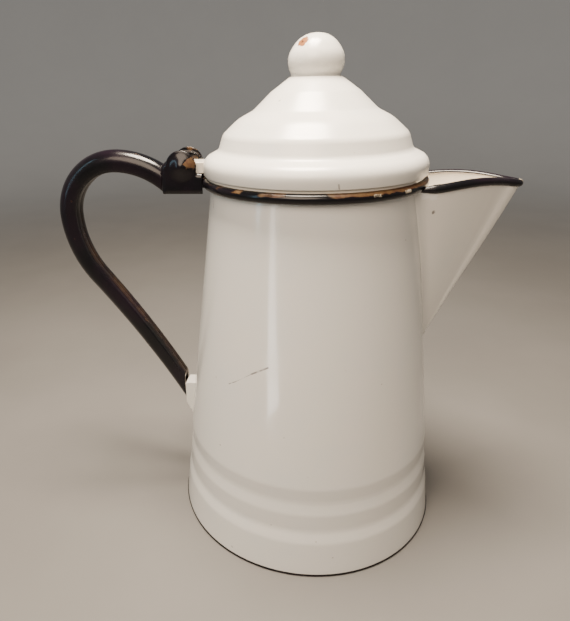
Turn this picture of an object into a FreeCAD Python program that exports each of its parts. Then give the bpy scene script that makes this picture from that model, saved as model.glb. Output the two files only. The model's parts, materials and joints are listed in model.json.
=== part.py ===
import FreeCAD, Part
import math
import os
import re

import Sketcher
from FreeCAD import Placement, Rotation, Vector

# Enamelled steel coffee pot with a beak spout, a hollow handle and a hinged lid.
# Origin: centre of the foot, on the surface the pot stands on.
# +Z is up, +X is the spout, -X is the handle. Millimetres.

DIMENSIONS = {
    # pot
    "steel": 1.2,
    "foot_radius": 68.4,
    "foot_lean": 0.3,
    "skirt_radius": 66.2,
    "skirt_top": 18.0,
    "swage_low_z": 24.0,
    "swage_low_radius": 64.7,
    "ridge_z": 33.0,
    "ridge_radius": 64.2,
    "swage_high_z": 39.5,
    "swage_high_radius": 63.0,
    "swage_top": 46.5,
    "swage_top_radius": 62.95,
    "swage_bend": 14.0,
    "mouth_radius": 47.2,
    "wall_top": 171.9,
    "base_ring_radius": 62.0,
    "base_ring_half": 1.4,
    "base_ring_depth": 0.8,
    "base_ring_bend": 0.5,
    "base_edge_bend": 0.4,
    # rolled edges
    "bead_circle": 48.9,
    "bead_radius": 2.2,
    "wire_radius": 1.1,
    "wire_gap": 0.03,
    "hem_toe": 0.8,
    "hem_heel": 3.0,
    "hem_crest": 2.4,
    "hem_bend": 0.8,
    # spout
    "spout_tip": 89.9,
    "spout_top": 172.3,
    "spout_root": 43.0,
    "spout_half_width": 17.4,
    "spout_low": 96.0,
    "spout_low_root": 50.6,
    "spout_low_tip": 58.4,
    "spout_low_half_width": 0.6,
    "spout_steel": 1.2,
    "channel_tip_inset": 2.4,
    "lip_radius": 1.8,
    "lip_centre": 173.3,
    "lip_fold_share": 0.98,
    "hole_radius": 1.6,
    "hole_pitch": 6.0,
    # lid, with heights measured from its edge
    "lid_steel": 1.1,
    "lid_low": 177.0,
    "lid_top": 217.4,
    "lid_radius": 50.4,
    "brim_height": 7.5,
    "brim_bend": 5.5,
    "edge_tuck": 0.1,
    "waist_radius": 43.2,
    "waist_height": 10.9,
    "waist_bend": 3.6,
    "shoulder_radius": 41.0,
    "shoulder_height": 17.6,
    "shoulder_bend": 5.5,
    "hollow_radius": 34.0,
    "hollow_height": 23.8,
    "hollow_bend": 18.0,
    "cone_radius": 27.2,
    "cone_height": 27.3,
    "cone_bend": 8.0,
    "neck_radius": 19.6,
    "neck_height": 34.4,
    "neck_bend": 9.0,
    "crown_margin": 0.5,
    "crown_bend": 1.5,
    "skirt_gap": 0.3,
    "skirt_low": 165.5,
    "skirt_steel": 0.9,
    "skirt_rest": 176.35,
    "skirt_margin": 0.15,
    "skirt_toe_bend": 0.35,
    "skirt_step_bend": 0.6,
    "skirt_inner_bend": 1.4,
    # knob
    "knob_low": 217.5,
    "knob_top": 234.2,
    "knob_radius": 12.9,
    "knob_seat": 10.6,
    "belly_rise": 4.1,
    "belly_bend": 4.0,
    "cheek_drop": 5.2,
    "cheek_bend": 7.0,
    "knob_crown_inset": 5.7,
    "knob_crown_bend": 10.5,
    "knob_disc": 0.9,
    "knob_disc_gap": 0.25,
    "rivet_radius": 2.0,
    "rivet_gap": 0.05,
    "rivet_head_out": 2.0,
    "rivet_head": 1.5,
    "rivet_bend": 1.2,
    # hinge
    "pin_x": -60.0,
    "pin_z": 179.4,
    "pin_radius": 1.6,
    "pin_fit": 0.02,
    "eye_fit": 0.06,
    "eye_radius": 3.2,
    "leaf_width": 12.0,
    "leaf_thickness": 1.6,
    "leaf_drop": 5.0,
    "leaf_root": 2.0,
    "leaf_knee_low": 4.6,
    "leaf_knee_high": 5.8,
    "leaf_bend": 1.0,
    "leaf_web": 1.3,
    "leaf_channel": 3.4,
    "bracket_width": 18.0,
    "bracket_steel": 1.3,
    "bracket_bend": 2.4,
    "bracket_back": -70.0,
    "bracket_low": 168.0,
    "bracket_high": 186.1,
    "bracket_slope": 5.0,
    "bracket_corner": 0.8,
    "bracket_reach": 7.1,
    "bracket_ledge": 1.3,
    "ear_bend": 6.4,
    "ear_back": 4.2,
    "ear_back_bend": 4.0,
    "hood_mouth": 6.2,
    "hood_depth": 3.4,
    "hood_lean": 0.6,
    "hood_bend": 2.0,
    "boss_radius": 4.8,
    "boss_height": 1.7,
    "boss_shoulder": 1.2,
    "boss_bend": 3.0,
    # handle
    "handle_start_x": -67.2,
    "handle_start_z": 172.4,
    "grip_depth": 5.2,
    "grip_breadth": 5.5,
    "end_depth": 4.2,
    "end_breadth": 4.6,
    "handle_steel": 1.2,
    "handle_fold": 1.9,
    "face_share": 0.88,
    "crown_share": 0.9,
    "handle_end_x": -66.6,
    "arch_radius": 40.8,
    "knuckle_radius": 26.5,
    "palm_radius": 52.0,
    "run_radius": 500.0,
    "lug_width": 9.0,
    "lug_low": 43.5,
    "lug_top": 64.5,
    "lug_toe": 4.0,
    "lug_slope": 8.0,
    "lug_bend": 6.0,
    "lug_corner": 1.2,
}

# The handle's centre line starts inside the hinge bracket with this heading,
# in degrees from +X towards +Z, and then follows tangent arcs: each is the
# alias of its radius and the degrees it turns.
HANDLE_HEADING = 137.7
HANDLE_ARCS = (
    ("arch_radius", 39.6),
    ("knuckle_radius", 93.0),
    ("palm_radius", 38.0),
    ("run_radius", -10.5),
)
# Each row of strainer holes: its height and how many holes it has.
STRAINER_ROWS = ((130.0, 3), (135.2, 2), (140.4, 3), (145.6, 4), (150.8, 5), (156.0, 4), (161.2, 5))
# Points of the spout's lip from its root to its nose, as shares of the reach
# and of the half width.
LIP_SHAPE = (
    (0.0, 1.0),
    (0.40, 0.79),
    (0.70, 0.45),
    (0.92, 0.185),
    (0.983, 0.11),
    (1.0, 0.0),
)
CLEAR = 0.02
ROOM = 12.0

doc = FreeCAD.newDocument("coffee_pot")
sheet = doc.addObject("Spreadsheet::Sheet", "dims")
for row, (alias, size) in enumerate(DIMENSIONS.items(), start=1):
    sheet.set(f"A{row}", alias)
    sheet.set(f"B{row}", str(size))
    sheet.setAlias(f"B{row}", alias)
doc.recompute()

sub_parts = []


def value(formula):
    """The number that a formula on the sheet's aliases gives now."""
    return float(sheet.evalExpression(str(formula)))


def on_sheet(formula):
    """The same formula, with every alias written as a cell of the sheet."""
    def cell(word):
        return "dims." + word.group() if word.group() in DIMENSIONS else word.group()
    return re.sub(r"[a-z_]+", cell, str(formula))


def new_body(label):
    body = doc.addObject("PartDesign::Body", label)
    body.Label = label
    sub_parts.append(body)
    return body


def new_sketch(body, role, name, offset=None):
    """A sketch on one of the body's own origin planes."""
    sketch = body.newObject("Sketcher::SketchObject", name)
    plane = next(item for item in body.Origin.OriginFeatures if item.Role == role)
    sketch.AttachmentSupport = (plane, [""])
    sketch.MapMode = "FlatFace"
    if offset is not None:
        sketch.setExpression("AttachmentOffset.Base.z", on_sheet(offset))
        doc.recompute()
    return sketch


def bind(sketch, constraint, formula):
    index = sketch.addConstraint(constraint)
    sketch.setExpression(f"Constraints[{index}]", on_sheet(formula))


def pin_point(sketch, geometry, point, x_formula, y_formula):
    """Hold one point of the sketch at formulas on the sheet."""
    for kind, formula in (("DistanceX", x_formula), ("DistanceY", y_formula)):
        start = value(formula)
        bind(sketch, Sketcher.Constraint(kind, -1, 1, geometry, point, start), formula)


def add_outline(sketch, corners):
    """Closed outline. A corner is (x, y) or (x, y, bend radius), all formulas."""
    first = sketch.GeometryCount
    spots = [Vector(value(corner[0]), value(corner[1]), 0) for corner in corners]
    count = len(spots)
    for index, spot in enumerate(spots):
        sketch.addGeometry(Part.LineSegment(spot, spots[(index + 1) % count]))
    for index in range(count):
        after = first + (index + 1) % count
        sketch.addConstraint(Sketcher.Constraint("Coincident", first + index, 2, after, 1))
    for index, corner in enumerate(corners):
        pin_point(sketch, first + index, 1, corner[0], corner[1])
    for index, corner in enumerate(corners):
        if len(corner) == 3:
            before = first + (index - 1) % count
            arc = sketch.GeometryCount
            sketch.fillet(before, 2, value(corner[2]), True, True)
            bind(sketch, Sketcher.Constraint("Radius", arc, value(corner[2])), corner[2])


def add_circle(sketch, x_formula, y_formula, radius):
    centre = Vector(value(x_formula), value(y_formula), 0)
    circle = sketch.addGeometry(Part.Circle(centre, Vector(0, 0, 1), value(radius)))
    pin_point(sketch, circle, 3, x_formula, y_formula)
    bind(sketch, Sketcher.Constraint("Radius", circle, value(radius)), radius)


def axis_of(body, role):
    return next(item for item in body.Origin.OriginFeatures if item.Role == role)


def turn(body, sketch, kind="PartDesign::Revolution", role="Z_Axis", name="turned"):
    """Revolve or groove a sketch a full turn about an axis of the body."""
    feature = body.newObject(kind, name)
    feature.Profile = sketch
    feature.ReferenceAxis = (axis_of(body, role), [""])
    feature.Angle = 360
    doc.recompute()
    return feature


def pad(body, sketch, length, kind="PartDesign::Pad", name="padded"):
    """Pad or pocket a sketch, half its length each way."""
    feature = body.newObject(kind, name)
    feature.Profile = sketch
    if kind == "PartDesign::Pad":
        feature.Midplane = True
    else:
        feature.SideType = "Symmetric"
    feature.setExpression("Length", on_sheet(length))
    doc.recompute()
    return feature


def hollow(body, solid, sheet_metal, open_faces):
    """Turn a solid into a shell of sheet metal, open at the given faces."""
    shell = body.newObject("PartDesign::Thickness", "sheet_metal")
    shell.Base = (solid, open_faces)
    shell.setExpression("Value", on_sheet(sheet_metal))
    shell.Reversed = True
    shell.Join = 1
    body.Tip = shell
    doc.recompute()
    return shell


def flat_faces(feature, *heights):
    """Names of the level faces at the given heights."""
    names = []
    for index, face in enumerate(feature.Shape.Faces, start=1):
        level = face.BoundBox.ZLength < 1e-4
        if level and any(abs(face.BoundBox.ZMin - value(height)) < 1e-3 for height in heights):
            names.append(f"Face{index}")
    return names


def make_body_shell():
    """Tapered pot wall with two swaged grooves and a strainer behind the spout."""
    body = new_body("body_shell")
    sketch = new_sketch(body, "XZ_Plane", "wall")
    add_outline(sketch, [
        (0, "steel"),
        ("foot_radius - foot_lean", "steel"),
        ("skirt_radius", "skirt_top", "swage_bend"),
        ("swage_low_radius", "swage_low_z", "swage_bend"),
        ("ridge_radius", "ridge_z", "swage_bend"),
        ("swage_high_radius", "swage_high_z", "swage_bend"),
        ("swage_top_radius", "swage_top", "swage_bend"),
        ("mouth_radius", "wall_top"),
        (0, "wall_top"),
    ])
    solid = turn(body, sketch)
    hollow(body, solid, "steel", flat_faces(solid, "steel", "wall_top"))
    holes = new_sketch(body, "YZ_Plane", "strainer")
    for height, in_row in STRAINER_ROWS:
        for step in range(in_row):
            side = step - (in_row - 1) / 2
            add_circle(holes, f"hole_pitch * {side}", height, "hole_radius")
    drill = body.newObject("PartDesign::Pocket", "strainer_holes")
    drill.Profile = holes
    drill.Reversed = True
    drill.setExpression("Length", "dims.foot_radius")
    doc.recompute()
    body.Tip = drill


def make_base_plate():
    """Flat bottom with a shallow pressed ring inside its foot."""
    body = new_body("base_plate")
    sketch = new_sketch(body, "XZ_Plane", "floor")
    top = f"steel - {CLEAR}"
    inner = "base_ring_radius - base_ring_half"
    outer = "base_ring_radius + base_ring_half"
    add_outline(sketch, [
        (0, 0),
        (f"{inner} - base_ring_depth", 0),
        (inner, "base_ring_depth", "base_ring_bend"),
        (outer, "base_ring_depth", "base_ring_bend"),
        (f"{outer} + base_ring_depth", 0),
        ("foot_radius", 0, "base_edge_bend"),
        ("foot_radius", top),
        (f"{outer} + base_ring_depth", top),
        (outer, f"{top} + base_ring_depth", "base_ring_bend"),
        (inner, f"{top} + base_ring_depth", "base_ring_bend"),
        (f"{inner} - base_ring_depth", top),
        (0, top),
    ])
    turn(body, sketch)


def make_rim_bead():
    """Rolled edge of the mouth, with the bore for its wire."""
    body = new_body("rim_bead")
    roll = new_sketch(body, "XZ_Plane", "roll")
    add_circle(roll, "bead_circle", "wall_top + bead_radius", "bead_radius")
    turn(body, roll, name="bead")
    lip = new_sketch(body, "XZ_Plane", "lip")
    add_outline(lip, [
        ("mouth_radius - steel", "wall_top"),
        ("mouth_radius", "wall_top"),
        ("bead_circle", "wall_top + hem_toe"),
        ("bead_circle", "wall_top + hem_heel"),
        ("mouth_radius - steel", "wall_top + hem_crest", "hem_bend"),
    ])
    turn(body, lip, name="rolled_lip")
    bore = new_sketch(body, "XZ_Plane", "wire_bore")
    add_circle(bore, "bead_circle", "wall_top + bead_radius", "wire_radius + wire_gap")
    turn(body, bore, "PartDesign::Groove", name="wire_space")


def make_rim_wire():
    """Wire ring inside the rolled edge."""
    ring = doc.addObject("Part::Torus", "rim_wire")
    ring.Label = "rim_wire"
    ring.setExpression("Radius1", "dims.bead_circle")
    ring.setExpression("Radius2", "dims.wire_radius")
    ring.setExpression("Placement.Base.z", "dims.wall_top + dims.bead_radius")
    sub_parts.append(ring)


def wall_radius(height):
    """Formula for the wall's outer radius at a height above the swages."""
    taper = "(swage_top_radius - mouth_radius) / (wall_top - swage_top)"
    return f"swage_top_radius - ({height} - swage_top) * {taper}"


def cut_inside(body, name, low, high, radius_low, radius_high):
    """Groove away everything inside a cone or cylinder about the pot's axis."""
    sketch = new_sketch(body, "XZ_Plane", name)
    add_outline(sketch, [
        (0, low),
        (f"{radius_low} + {CLEAR}", low),
        (f"{radius_high} + {CLEAR}", high),
        (0, high),
    ])
    turn(body, sketch, "PartDesign::Groove", name=name + "_cut")


def fit_to_wall(body, low, high):
    """Cut a piece back to the outside of the tapered wall."""
    cut_inside(body, "wall", low, high, wall_radius(low), wall_radius(high))


def fit_to_bead(body):
    """Cut a piece back to the rolled bead of the mouth."""
    seat = new_sketch(body, "XZ_Plane", "rim_seat")
    add_circle(seat, "bead_circle", "wall_top + bead_radius", f"bead_radius + {CLEAR}")
    turn(body, seat, "PartDesign::Groove", name="rim_seat_cut")


def cut_box(body, name, x_low, x_high, z_low, z_high, width):
    """Pocket a block of that width, half each side of the XZ plane."""
    sketch = new_sketch(body, "XZ_Plane", name)
    add_outline(sketch, [(x_low, z_low), (x_high, z_low), (x_high, z_high), (x_low, z_high)])
    pad(body, sketch, width, "PartDesign::Pocket", name + "_cut")


def lip_points(tip, half_width, root):
    """Plan of the spout's lip, from its root on one side round to the other."""
    reach = tip - root
    near = [Vector(root + reach * along, half_width * out, 0) for along, out in LIP_SHAPE]
    far = [Vector(spot.x, -spot.y, 0) for spot in reversed(near[:-1])]
    return near + far


def add_spout_plan(sketch, tip, half_width, root):
    """Closed plan of the spout at one level: two cheeks and a straight back."""
    spots = lip_points(value(tip), value(half_width), value(root))
    nose = len(LIP_SHAPE)
    for cheek in (spots[:nose], spots[nose - 1:]):
        curve = Part.BSplineCurve()
        curve.interpolate(cheek)
        sketch.addGeometry(curve)
    sketch.addGeometry(Part.LineSegment(spots[-1], spots[0]))
    for first, second in ((0, 1), (1, 2), (2, 0)):
        sketch.addConstraint(Sketcher.Constraint("Coincident", first, 2, second, 1))
    pin_point(sketch, 0, 1, root, half_width)
    pin_point(sketch, 1, 1, tip, 0)
    pin_point(sketch, 2, 1, root, f"-({half_width})")


def make_spout_shell():
    """Beak of folded sheet, open at the top and against the wall."""
    body = new_body("spout_shell")
    outside = (("spout_top", "spout_tip", "spout_half_width", "spout_root"),
               ("spout_low", "spout_low_tip", "spout_low_half_width", "spout_low_root"))
    inside = (("spout_top", "spout_tip - channel_tip_inset", "spout_half_width - spout_steel",
               f"spout_root - {ROOM}"),
              ("spout_low", "spout_low_tip - channel_tip_inset", "spout_low_half_width / 3",
               f"spout_low_root - {ROOM}"))
    for kind, name, levels in (("PartDesign::AdditiveLoft", "beak", outside),
                               ("PartDesign::SubtractiveLoft", "channel", inside)):
        plans = []
        for level, tip, half_width, root in levels:
            sketch = new_sketch(body, "XY_Plane", f"{name}_{level}", level)
            add_spout_plan(sketch, tip, half_width, root)
            plans.append(sketch)
        loft = body.newObject(kind, name)
        loft.Profile = plans[0]
        loft.Sections = plans[1:]
        loft.Ruled = True
        doc.recompute()
    fit_to_wall(body, "swage_top", "wall_top")
    cut_inside(body, "mouth", f"wall_top - {CLEAR}", f"wall_top + {ROOM}",
               "bead_circle", "bead_circle")
    fit_to_bead(body)


def make_spout_bead():
    """Rolled edge along the spout's lips, with a flat seat on the sheet's edge."""
    body = new_body("spout_bead")
    path = new_sketch(body, "XY_Plane", "lip_line", "lip_centre")
    spots = lip_points(value("spout_tip"), value("spout_half_width"), value("spout_root"))
    line = Part.BSplineCurve()
    line.interpolate(spots)
    path.addGeometry(line)
    pin_point(path, 0, 1, "spout_root", "spout_half_width")
    pin_point(path, 0, 2, "spout_root", "-spout_half_width")
    start = line.value(line.FirstParameter)
    along = line.tangent(line.FirstParameter)[0]
    up = Vector(0, 0, 1)
    roll = new_sketch(body, "XY_Plane", "lip_section")
    roll.MapMode = "Deactivated"
    roll.Placement = Placement(Vector(start.x, start.y, value("lip_centre")),
                               Rotation(up.cross(along), up, along, "ZYX"))
    seat = f"spout_top + {CLEAR} - lip_centre"
    add_outline(roll, [
        ("-lip_radius", seat),
        ("lip_radius", seat),
        ("lip_radius", "lip_radius", "lip_fold_share * lip_radius"),
        ("-lip_radius", "lip_radius", "lip_fold_share * lip_radius"),
    ])
    doc.recompute()
    pipe = body.newObject("PartDesign::AdditivePipe", "lip")
    pipe.Profile = roll
    pipe.Spine = (path, ["Edge1"])
    pipe.Mode = "Binormal"
    pipe.Binormal = up
    doc.recompute()
    fit_to_bead(body)
    cut_inside(body, "mouth", f"wall_top - {ROOM}", f"wall_top + {ROOM}",
               "bead_circle", "bead_circle")


def make_lid_shell():
    """Stepped dome of the lid."""
    body = new_body("lid_shell")
    sketch = new_sketch(body, "XZ_Plane", "dome")
    add_outline(sketch, [
        (0, "lid_low"),
        ("lid_radius - edge_tuck", "lid_low"),
        ("lid_radius", "lid_low + brim_height", "brim_bend"),
        ("waist_radius", "lid_low + waist_height", "waist_bend"),
        ("shoulder_radius", "lid_low + shoulder_height", "shoulder_bend"),
        ("hollow_radius", "lid_low + hollow_height", "hollow_bend"),
        ("cone_radius", "lid_low + cone_height", "cone_bend"),
        ("neck_radius", "lid_low + neck_height", "neck_bend"),
        ("knob_seat + crown_margin", "lid_top", "crown_bend"),
        (0, "lid_top"),
    ])
    solid = turn(body, sketch)
    hollow(body, solid, "lid_steel", flat_faces(solid, "lid_low"))
    hole = new_sketch(body, "XY_Plane", "rivet_hole", "lid_top")
    add_circle(hole, 0, 0, "rivet_radius + rivet_gap")
    pad(body, hole, "4 * lid_steel", "PartDesign::Pocket", "rivet_bore")


def make_lid_skirt():
    """Ring inside the lid that drops into the mouth and rests on the rim."""
    body = new_body("lid_skirt")
    outer = "mouth_radius - steel - skirt_gap"
    inner = f"{outer} - skirt_steel"
    edge = "lid_radius - lid_steel - skirt_margin"
    sketch = new_sketch(body, "XZ_Plane", "ring")
    add_outline(sketch, [
        (inner, "skirt_low"),
        (outer, "skirt_low", "skirt_toe_bend"),
        (outer, "skirt_rest", "skirt_step_bend"),
        (edge, "skirt_rest"),
        (edge, "skirt_rest + skirt_steel"),
        (inner, "skirt_rest + skirt_steel", "skirt_inner_bend"),
    ])
    turn(body, sketch)


def make_knob_cap():
    """Hollow pressed knob."""
    body = new_body("knob_cap")
    sketch = new_sketch(body, "XZ_Plane", "dome")
    add_outline(sketch, [
        (0, "knob_low"),
        ("knob_seat", "knob_low"),
        ("knob_radius", "knob_low + belly_rise", "belly_bend"),
        ("knob_radius", "knob_top - cheek_drop", "cheek_bend"),
        ("knob_radius - knob_crown_inset", "knob_top", "knob_crown_bend"),
        (0, "knob_top"),
    ])
    solid = turn(body, sketch)
    hollow(body, solid, "steel", flat_faces(solid, "knob_low"))


def make_knob_base():
    """Disc that closes the knob from below."""
    body = new_body("knob_base")
    sketch = new_sketch(body, "XZ_Plane", "plate")
    hole = "rivet_radius + rivet_gap"
    edge = "knob_seat - steel - knob_disc_gap"
    add_outline(sketch, [
        (hole, "knob_low"),
        (edge, "knob_low"),
        (edge, "knob_low + knob_disc"),
        (hole, "knob_low + knob_disc"),
    ])
    turn(body, sketch)


def make_knob_rivet():
    """Rivet through the lid's crown and the knob's disc."""
    body = new_body("knob_rivet")
    sketch = new_sketch(body, "XZ_Plane", "shank")
    under = f"lid_top - lid_steel - {CLEAR}"
    over = f"knob_low + knob_disc + {CLEAR}"
    head = "rivet_radius + rivet_head_out"
    add_outline(sketch, [
        (0, f"{under} - rivet_head"),
        (head, f"{under} - rivet_head", "rivet_bend"),
        (head, under),
        ("rivet_radius", under),
        ("rivet_radius", over),
        (head, over),
        (head, f"{over} + rivet_head", "rivet_bend"),
        (0, f"{over} + rivet_head"),
    ])
    turn(body, sketch)


def make_lid_tab():
    """Hinge leaf of the lid: a channel with an eye round the pin."""
    body = new_body("lid_tab")
    crown = "pin_z + eye_radius"
    root = "leaf_root - lid_radius"
    side = new_sketch(body, "XZ_Plane", "side")
    add_outline(side, [
        ("pin_x", crown),
        (root, crown),
        (root, f"{crown} - leaf_drop"),
        ("-lid_radius - leaf_knee_low", f"{crown} - leaf_drop", "leaf_bend"),
        ("-lid_radius - leaf_knee_high", f"{crown} - leaf_thickness", "leaf_bend"),
        ("pin_x", f"{crown} - leaf_thickness"),
    ])
    pad(body, side, "leaf_width", name="leaf")
    eye = new_sketch(body, "XZ_Plane", "eye")
    add_circle(eye, "pin_x", "pin_z", "eye_radius")
    pad(body, eye, "leaf_width", name="rolled_eye")
    bore = new_sketch(body, "XZ_Plane", "bore")
    add_circle(bore, "pin_x", "pin_z", "pin_radius + eye_fit")
    pad(body, bore, "2 * leaf_width", "PartDesign::Pocket", "pin_bore")
    cut_box(body, "channel", "-lid_radius - leaf_channel", f"{root} + {ROOM}",
            f"{crown} - leaf_drop - {ROOM}", f"{crown} - leaf_web", "leaf_width - 2 * leaf_web")
    cut_inside(body, "lid", f"lid_low - {ROOM}", f"lid_low + {ROOM}", "lid_radius", "lid_radius")


def back_edges(shape):
    """Names of the bracket's two upright edges at its back."""
    names = []
    for index, edge in enumerate(shape.Edges, start=1):
        box = edge.BoundBox
        upright = box.ZLength > 5 and box.XLength < 1e-4 and box.YLength < 1e-4
        if upright and abs(box.XMin - value("bracket_back")) < 1e-3:
            names.append(f"Edge{index}")
    return names


def make_hinge_bracket():
    """Folded hood on the rim: two cheeks, a closed back and a sloping top."""
    body = new_body("hinge_bracket")
    front = "pin_x + bracket_reach"
    ledge = "pin_z - bracket_ledge"
    slope_start = "bracket_high - bracket_slope"
    side = new_sketch(body, "XZ_Plane", "side")
    add_outline(side, [
        ("bracket_back", "bracket_low", "bracket_corner"),
        (f"bracket_back + 2 * {ROOM}", "bracket_low"),
        (f"bracket_back + 2 * {ROOM}", ledge),
        (front, ledge, "bracket_corner"),
        (front, "bracket_high", "ear_bend"),
        ("pin_x - ear_back", "bracket_high", "ear_back_bend"),
        ("bracket_back", slope_start, "bracket_bend"),
    ])
    block = pad(body, side, "bracket_width", name="block")
    fold = body.newObject("PartDesign::Fillet", "back_folds")
    fold.Base = (block, back_edges(block.Shape))
    fold.setExpression("Radius", "dims.bracket_bend")
    doc.recompute()
    body.Tip = fold
    room = new_sketch(body, "XZ_Plane", "room")
    inside = "bracket_back + bracket_steel"
    add_outline(room, [
        (inside, f"bracket_low - {ROOM}"),
        (f"bracket_back + 3 * {ROOM}", f"bracket_low - {ROOM}"),
        (f"bracket_back + 3 * {ROOM}", f"bracket_high + {ROOM}"),
        ("pin_x - hood_mouth", f"bracket_high + {ROOM}"),
        ("pin_x - hood_mouth", "bracket_high - hood_depth"),
        (inside, f"{slope_start} - hood_lean", "hood_bend"),
    ])
    pad(body, room, "bracket_width - 2 * bracket_steel", "PartDesign::Pocket", "hood")
    bore = new_sketch(body, "XZ_Plane", "bore")
    add_circle(bore, "pin_x", "pin_z", "pin_radius + pin_fit")
    pad(body, bore, "2 * bracket_width", "PartDesign::Pocket", "pin_bore")
    rim = "bead_circle + bead_radius"
    cut_inside(body, "rim", f"bracket_low - {ROOM}", f"bracket_high + {ROOM}", rim, rim)


def make_hinge_pin():
    """Pin of the hinge, with a domed head outside each cheek."""
    body = new_body("hinge_pin")
    sketch = new_sketch(body, "XY_Plane", "half")
    face = f"bracket_width / 2 + {CLEAR}"
    end = f"{face} + boss_height"
    add_outline(sketch, [
        (0, f"-({end})"),
        ("boss_radius - boss_shoulder", f"-({end})", "boss_bend"),
        ("boss_radius", f"-({face})"),
        ("pin_radius", f"-({face})"),
        ("pin_radius", face),
        ("boss_radius", face),
        ("boss_radius - boss_shoulder", end, "boss_bend"),
        (0, end),
    ])
    turn(body, sketch, role="Y_Axis")
    body.setExpression("Placement.Base.x", "dims.pin_x")
    body.setExpression("Placement.Base.z", "dims.pin_z")


def handle_arcs():
    """Start, middle, end and both headings of each arc of the centre line."""
    spot = Vector(value("handle_start_x"), value("handle_start_z"), 0)
    heading = math.radians(HANDLE_HEADING)
    arcs = []
    for alias, degrees in HANDLE_ARCS:
        radius = math.copysign(value(alias), degrees)
        hub = spot + Vector(-math.sin(heading), math.cos(heading), 0) * radius
        half, end = (heading + math.radians(degrees) * share for share in (0.5, 1.0))
        middle, last = (hub + Vector(math.sin(angle), -math.cos(angle), 0) * radius
                        for angle in (half, end))
        arcs.append((spot, middle, last, heading, end))
        spot = last
        heading = end
    return arcs


def section_place(spot, heading):
    """Placement of a handle section, square to the centre line at a spot on it."""
    along = Vector(math.cos(heading), 0, math.sin(heading))
    inwards = Vector(-math.sin(heading), 0, math.cos(heading))
    return Placement(Vector(spot.x, 0, spot.y), Rotation(inwards, Vector(0, 1, 0), along, "ZXY"))


def add_grip_section(sketch, depth, breadth, fold):
    """A flat inner face with tight folds, and a rounded crown outside."""
    add_outline(sketch, [
        (depth, f"-face_share * ({breadth})", fold),
        (depth, f"face_share * ({breadth})", fold),
        (f"-({depth})", breadth, f"crown_share * ({breadth})"),
        (f"-({depth})", f"-({breadth})", f"crown_share * ({breadth})"),
    ])


def make_handle_tube():
    """Hollow handle of folded sheet that tapers towards its lower end."""
    body = new_body("handle_tube")
    path = new_sketch(body, "XZ_Plane", "centre_line")
    arcs = handle_arcs()
    for number, (start, middle, end, _, _) in enumerate(arcs):
        path.addGeometry(Part.Arc(start, middle, end))
        alias = HANDLE_ARCS[number][0]
        bind(path, Sketcher.Constraint("Radius", number, value(alias)), alias)
    doc.recompute()
    ends = (("grip", arcs[0][0], arcs[0][3]), ("end", arcs[-1][2], arcs[-1][4]))
    for kind, inset, name in (("PartDesign::AdditivePipe", "0", "outside"),
                              ("PartDesign::SubtractivePipe", "handle_steel", "inside")):
        sections = []
        for end, spot, heading in ends:
            section = new_sketch(body, "XY_Plane", f"{name}_{end}")
            section.MapMode = "Deactivated"
            section.Placement = section_place(spot, heading)
            add_grip_section(section, f"{end}_depth - {inset}", f"{end}_breadth - {inset}",
                             f"handle_fold - {inset}")
            sections.append(section)
        doc.recompute()
        pipe = body.newObject(kind, name)
        pipe.Profile = sections[0]
        pipe.Spine = (path, [f"Edge{number + 1}" for number in range(len(arcs))])
        pipe.Transformation = "Multisection"
        pipe.Sections = sections[1:]
        doc.recompute()
    width = "4 * grip_breadth"
    cut_box(body, "bracket", f"bracket_back - {CLEAR}", f"bracket_back + {ROOM}",
            f"bracket_low - {ROOM}", f"bracket_high + {ROOM}", width)
    cut_box(body, "lug", "handle_end_x", f"handle_end_x + {ROOM}",
            f"lug_low - {ROOM}", f"lug_top + {ROOM}", width)


def make_handle_lug():
    """Enamelled lug on the wall that carries the handle's lower end."""
    body = new_body("handle_lug")
    face = f"handle_end_x + {CLEAR}"
    sketch = new_sketch(body, "XZ_Plane", "side")
    add_outline(sketch, [
        (f"handle_end_x + {ROOM}", "lug_low"),
        ("handle_end_x + lug_toe", "lug_low"),
        (face, "lug_low + lug_slope", "lug_bend"),
        (face, "lug_top", "lug_corner"),
        (f"handle_end_x + {ROOM}", "lug_top"),
    ])
    pad(body, sketch, "lug_width", name="block")
    fit_to_wall(body, f"lug_low - {ROOM}", "wall_top")


def check_and_export():
    """Refuse a failed object or a broken shape, then write one STEP file each."""
    doc.recompute()
    for item in doc.Objects:
        if any(word in item.State for word in ("Invalid", "Error")):
            raise RuntimeError(f"{item.Name} failed: {item.State}")
    for item in sub_parts:
        shape = item.Shape
        if shape.isNull() or not shape.isValid() or len(shape.Solids) != 1:
            raise RuntimeError(f"{item.Label}: bad shape")
    os.makedirs("parts", exist_ok=True)
    for item in sub_parts:
        item.Shape.exportStep(f"parts/{item.Label}.step")
        box = item.Shape.BoundBox
        print(f"{item.Label:14s} {item.Shape.Volume:9.0f} mm3  "
              f"X {box.XMin:.1f} {box.XMax:.1f}  Y {box.YMin:.1f} {box.YMax:.1f}  "
              f"Z {box.ZMin:.1f} {box.ZMax:.1f}")


make_body_shell()
make_base_plate()
make_rim_bead()
make_rim_wire()
make_spout_shell()
make_spout_bead()
make_lid_shell()
make_lid_skirt()
make_knob_cap()
make_knob_base()
make_knob_rivet()
make_lid_tab()
make_hinge_bracket()
make_hinge_pin()
make_handle_tube()
make_handle_lug()
check_and_export()
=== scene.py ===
import json
import math

import bmesh
import bpy
from mathutils import Matrix, Vector, noise


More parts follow.
